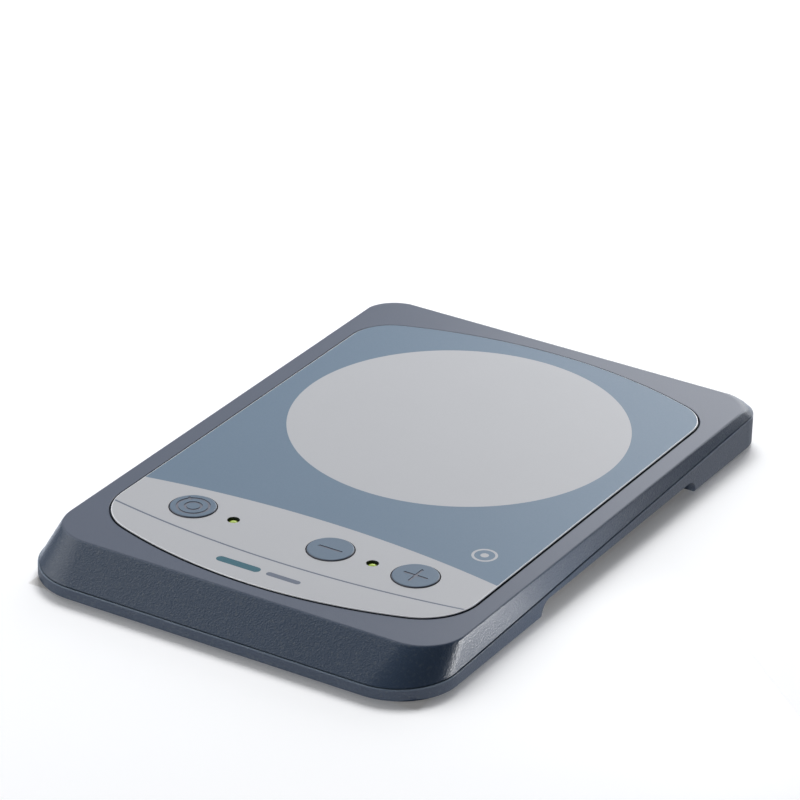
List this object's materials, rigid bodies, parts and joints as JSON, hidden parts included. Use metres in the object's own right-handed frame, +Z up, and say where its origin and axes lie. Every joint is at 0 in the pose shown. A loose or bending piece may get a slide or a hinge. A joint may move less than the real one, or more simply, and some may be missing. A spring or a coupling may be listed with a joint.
{
  "type": "magnetic stirrer",
  "caption": "Thin flat laboratory stirrer: round light setting-down disc in a slim housing with a slanted front, touch-key control strip, indicator lamps and side finger recesses.",
  "frame": {"origin": "centre of the footprint, at the ground under the rubber pads", "axes": "+X to the right of the user, +Y from the control end to the inlet end, +Z up"},
  "size_m": [0.1218, 0.18, 0.0123],
  "materials": {
    "housing_plastic": "fine-grained satin moulded plastic",
    "panel": "printed satin-gloss overlay",
    "adhesive": "double-sided adhesive sheet",
    "button": "satin moulded key",
    "switch_stem": "moulded",
    "switch_body": "moulded",
    "light_lens": "tinted clear",
    "circuit_board": "solder mask",
    "chip_black": "moulded epoxy",
    "aluminium_can": "drawn",
    "connector_white": "moulded",
    "wire_insulation": "PVC insulation",
    "steel": "zinc plated",
    "coil_former": "moulded",
    "copper": "enamelled copper wire",
    "inlet_black": "moulded",
    "contact_brass": "plated contact",
    "screw_steel": "zinc plated",
    "foil": "brushed foil, blank",
    "rubber": "moulded rubber"
  },
  "bodies": {
    "housing": {"base_shell": "housing_plastic", "board_screws": "screw_steel", "capacitors": "aluminium_can", "coil_core_front_left": "steel", "coil_core_front_right": "steel", "coil_core_rear_left": "steel", "coil_core_rear_right": "steel", "coil_drivers": "chip_black", "coil_former_front_left": "coil_former", "coil_former_front_right": "coil_former", "coil_former_rear_left": "coil_former", "coil_former_rear_right": "coil_former", "coil_plug": "connector_white", "coil_socket": "connector_white", "coil_winding_front_left": "copper", "coil_winding_front_right": "copper", "coil_winding_rear_left": "copper", "coil_winding_rear_right": "copper", "coil_wires": "wire_insulation", "control_board": "circuit_board", "foot_pad_front_left": "rubber", "foot_pad_front_right": "rubber", "foot_pad_rear_left": "rubber", "foot_pad_rear_right": "rubber", "front_panel": "panel", "housing_screws": "screw_steel", "light_left": "light_lens", "light_right": "light_lens", "microcontroller": "chip_black", "panel_adhesive": "adhesive", "power_connector": "connector_white", "power_inductor": "chip_black", "power_inlet": "inlet_black", "power_inlet_pin": "contact_brass", "power_inlet_tabs": "contact_brass", "power_wires": "wire_insulation", "rating_plate": "foil", "switch_minus": "switch_body", "switch_plus": "switch_body", "switch_power": "switch_body", "top_cover": "housing_plastic", "yoke_plate": "steel", "yoke_screws": "screw_steel"},
    "power_key": {"button_power": "button", "switch_stem_power": "switch_stem"},
    "minus_key": {"button_minus": "button", "switch_stem_minus": "switch_stem"},
    "plus_key": {"button_plus": "button", "switch_stem_plus": "switch_stem"}
  },
  "joints": [
    {"name": "power_press", "type": "slide", "parent": "housing", "child": "power_key", "axis": [0, 0, -1], "range_m": [0, 0.0005], "stiffness_N_per_m": 600},
    {"name": "minus_press", "type": "slide", "parent": "housing", "child": "minus_key", "axis": [0, 0, -1], "range_m": [0, 0.0005], "stiffness_N_per_m": 600},
    {"name": "plus_press", "type": "slide", "parent": "housing", "child": "plus_key", "axis": [0, 0, -1], "range_m": [0, 0.0005], "stiffness_N_per_m": 600}
  ]
}
